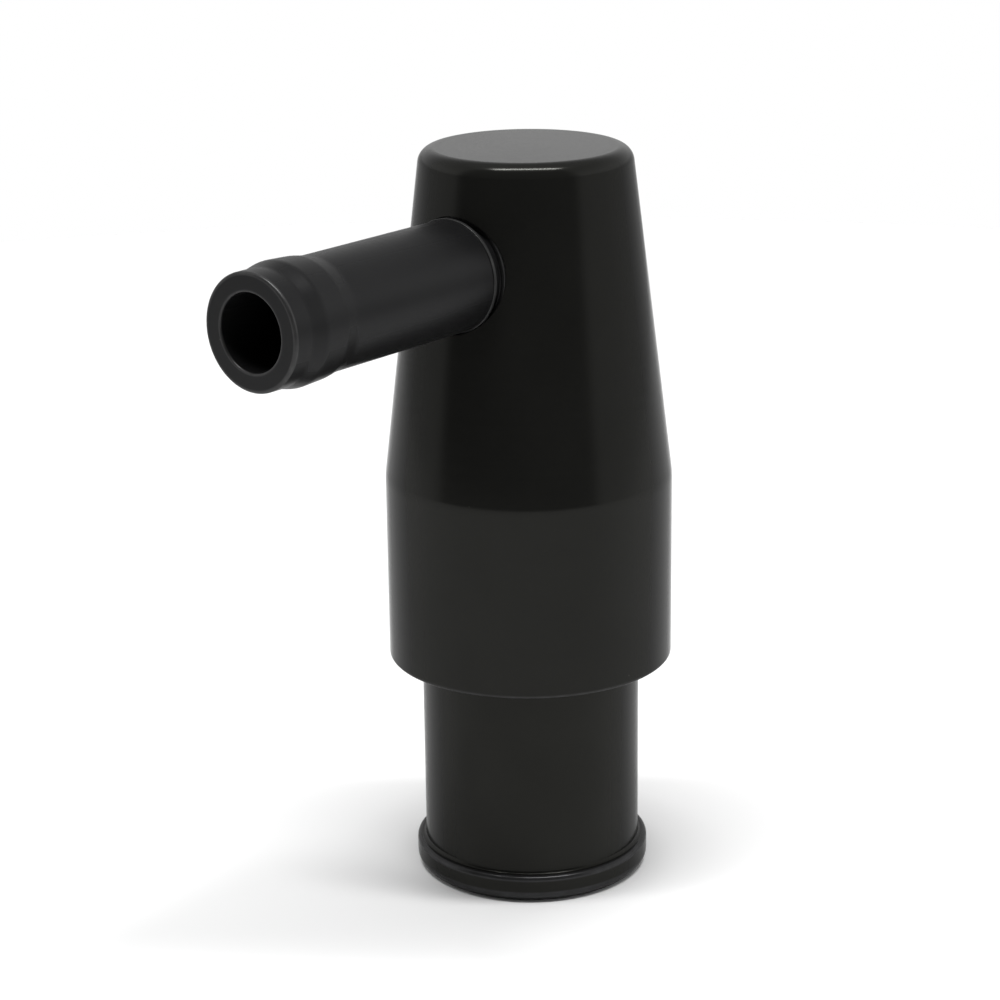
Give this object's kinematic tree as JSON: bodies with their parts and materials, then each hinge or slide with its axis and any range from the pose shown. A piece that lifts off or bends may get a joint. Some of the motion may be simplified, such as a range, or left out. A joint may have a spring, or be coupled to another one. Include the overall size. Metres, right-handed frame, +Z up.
{
  "type": "right-angle check valve",
  "caption": "Push-in one-way valve with a closed tapered cap, a beaded side hose tube, a lipped neck and a sprung plunger on a seat.",
  "frame": {"origin": "on the valve's vertical axis, in the plane of the neck's lower end", "axes": "+Z up along the neck, skirt and cap; the hose tube points along -X; +Y completes the right-handed frame"},
  "size_m": [0.0461, 0.0248, 0.0647],
  "materials": {
    "cap_black": "satin black anodised",
    "neck_black": "satin black anodised",
    "tube_black": "matt black anodised",
    "seal_rubber": "moulded",
    "stainless": "turned",
    "spring_steel": "drawn and stamped",
    "brass": "turned",
    "acetal": "moulded"
  },
  "bodies": {
    "housing": {"valve_body": "cap_black", "hose_tube": "tube_black", "inlet_neck": "neck_black", "tube_o_ring": "seal_rubber", "neck_o_ring": "seal_rubber", "seat_o_ring": "seal_rubber", "valve_seat": "stainless", "seat_retaining_ring": "spring_steel", "guide_retaining_ring": "spring_steel", "guide_washer": "stainless", "stem_guide": "acetal", "guide_bush": "brass", "lift_bumper": "seal_rubber", "spring_shim": "stainless", "return_spring": "spring_steel"},
    "plunger_group": {"plunger": "brass", "seal_disc": "seal_rubber", "seal_washer": "stainless", "plunger_nut": "stainless"}
  },
  "joints": [
    {"name": "plunger_lift", "type": "slide", "parent": "housing", "child": "plunger_group", "axis": [0, 0, 1], "range_m": [0, 0.004], "stiffness_N_per_m": 195, "springref_m": -0.0035, "deforming": ["return_spring"]}
  ]
}
